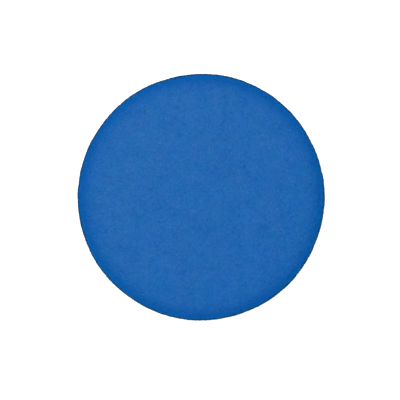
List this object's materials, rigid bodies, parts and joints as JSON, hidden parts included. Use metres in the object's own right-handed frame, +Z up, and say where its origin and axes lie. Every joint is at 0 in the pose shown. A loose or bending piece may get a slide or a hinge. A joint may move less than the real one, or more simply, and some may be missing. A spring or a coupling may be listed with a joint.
{
  "type": "air stone",
  "caption": "Round disc air stone: a porous mineral disc over a sealed pan, with a swivelling barbed inlet below and soft suction cups for feet.",
  "frame": {"origin": "on the tank floor, under the middle of the disc", "axes": "+Z up along the disc's axis, -Y the way the hose barb points at rest, +X to the right of that view"},
  "size_m": [0.1016, 0.1016, 0.0265],
  "materials": {
    "mineral": "bonded mineral grains, matt and porous, blue all through",
    "sealant": "cured epoxy bead, satin",
    "pan": "moulded black ABS with a fine texture",
    "elbow": "natural polypropylene, milky and satin",
    "o_ring": "black nitrile rubber",
    "cup": "soft clear PVC"
  },
  "bodies": {
    "base": {"diffuser_disc": "mineral", "disc_sealant": "sealant", "base_pan": "pan", "suction_cup_1": "cup", "suction_cup_2": "cup", "suction_cup_3": "cup", "suction_cup_4": "cup"},
    "inlet": {"inlet_elbow": "elbow", "inlet_o_ring": "o_ring"}
  },
  "joints": [
    {"name": "inlet_swivel", "type": "hinge", "parent": "base", "child": "inlet", "pos_m": [0, 0, 0.0107], "axis": [0, 0, 1], "continuous": true}
  ]
}
